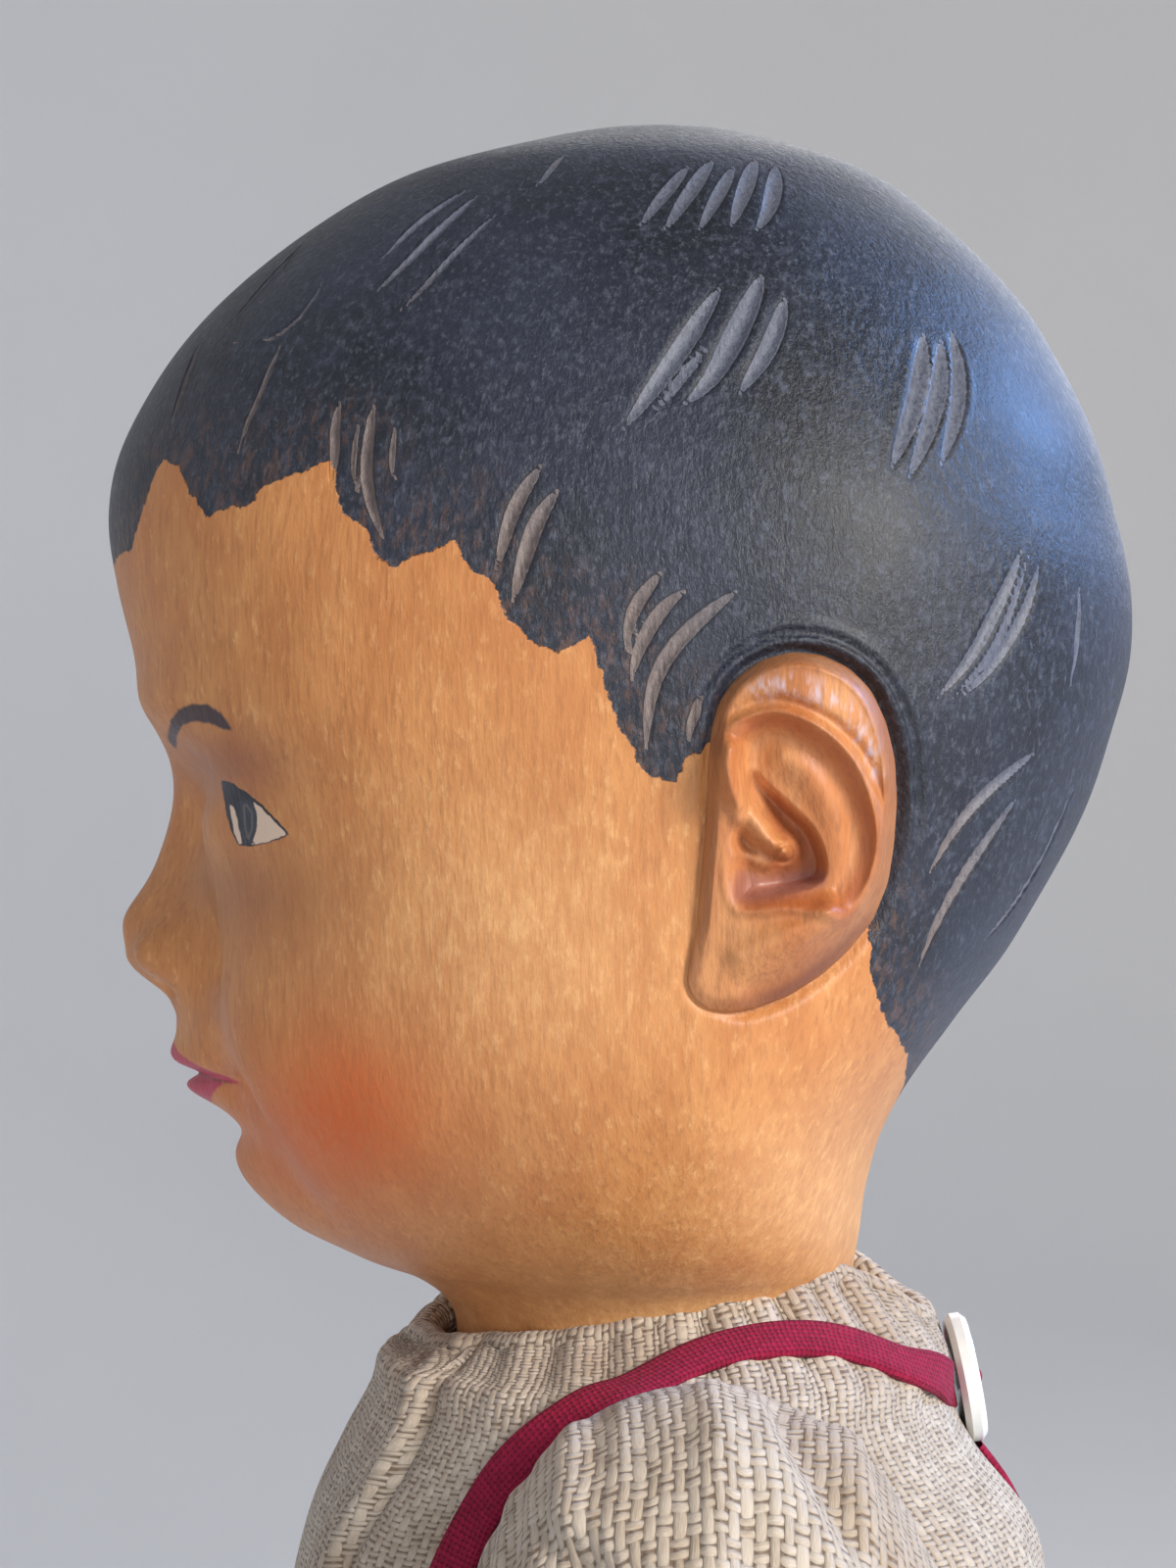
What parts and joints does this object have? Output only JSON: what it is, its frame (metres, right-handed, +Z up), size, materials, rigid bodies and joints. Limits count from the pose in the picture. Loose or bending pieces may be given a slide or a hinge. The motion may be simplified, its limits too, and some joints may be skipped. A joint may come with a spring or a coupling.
{
  "type": "jointed wooden doll",
  "caption": "Standing child doll of carved wood with pegged neck, shoulders, elbows, hips and knees, in a linen shirt, tape braces and short trousers.",
  "frame": {"origin": "on the floor, under the middle of the doll's bounding box", "axes": "+Z up, face toward -Y, the doll's left hand toward +X"},
  "size_m": [0.1176, 0.0863, 0.405],
  "materials": {
    "painted_wood": "satin paint over carved wood",
    "bare_wood": "bare limewood, sanded",
    "peg_wood": "bare beech, end grain at the ends",
    "linen": "coarse natural plain weave",
    "tape": "knitted tape",
    "button": "polished white shell look",
    "trouser_cloth": "plain dark wool cloth"
  },
  "bodies": {
    "body": {"torso": "bare_wood", "neck_retaining_peg": "peg_wood", "hip_dowel": "peg_wood", "shoulder_peg_left": "peg_wood", "shoulder_peg_right": "peg_wood", "shirt_body": "linen", "brace_left": "tape", "brace_right": "tape", "brace_tail": "tape", "back_button": "button", "trouser_seat": "trouser_cloth"},
    "head": {"head": "painted_wood", "neck_dowel": "peg_wood"},
    "upper_arm_left": {"upper_arm_left": "bare_wood", "elbow_peg_left": "peg_wood", "sleeve_left": "linen"},
    "forearm_left": {"forearm_left": "painted_wood"},
    "thigh_left": {"thigh_left": "bare_wood", "knee_peg_left": "peg_wood", "trouser_leg_left": "trouser_cloth"},
    "lower_leg_left": {"lower_leg_left": "painted_wood"},
    "upper_arm_right": {"upper_arm_right": "bare_wood", "elbow_peg_right": "peg_wood", "sleeve_right": "linen"},
    "forearm_right": {"forearm_right": "painted_wood"},
    "thigh_right": {"thigh_right": "bare_wood", "knee_peg_right": "peg_wood", "trouser_leg_right": "trouser_cloth"},
    "lower_leg_right": {"lower_leg_right": "painted_wood"}
  },
  "joints": [
    {"name": "neck_turn", "type": "hinge", "parent": "body", "child": "head", "pos_m": [0, 0.0025, 0.292], "axis": [0, 0, 1], "range_deg": [-65, 65]},
    {"name": "shoulder_left", "type": "hinge", "parent": "body", "child": "upper_arm_left", "pos_m": [0.03864, 0.006, 0.286], "axis": [-1, 0, 0], "range_deg": [-50, 90]},
    {"name": "elbow_left", "type": "hinge", "parent": "upper_arm_left", "child": "forearm_left", "pos_m": [0.0463, 0.006, 0.23153], "axis": [-0.9903, 0, -0.1392], "range_deg": [0, 105]},
    {"name": "hip_left", "type": "hinge", "parent": "body", "child": "thigh_left", "pos_m": [0.0165, 0, 0.172], "axis": [-1, 0, 0], "range_deg": [-10, 90]},
    {"name": "knee_left", "type": "hinge", "parent": "thigh_left", "child": "lower_leg_left", "pos_m": [0.0165, 0, 0.088], "axis": [1, 0, 0], "range_deg": [0, 100]},
    {"name": "shoulder_right", "type": "hinge", "parent": "body", "child": "upper_arm_right", "pos_m": [-0.03864, 0.006, 0.286], "axis": [-1, 0, 0], "range_deg": [-50, 90]},
    {"name": "elbow_right", "type": "hinge", "parent": "upper_arm_right", "child": "forearm_right", "pos_m": [-0.0463, 0.006, 0.23153], "axis": [-0.9903, 0, 0.1392], "range_deg": [0, 105]},
    {"name": "hip_right", "type": "hinge", "parent": "body", "child": "thigh_right", "pos_m": [-0.0165, 0, 0.172], "axis": [-1, 0, 0], "range_deg": [-10, 90]},
    {"name": "knee_right", "type": "hinge", "parent": "thigh_right", "child": "lower_leg_right", "pos_m": [-0.0165, 0, 0.088], "axis": [1, 0, 0], "range_deg": [0, 100]}
  ]
}
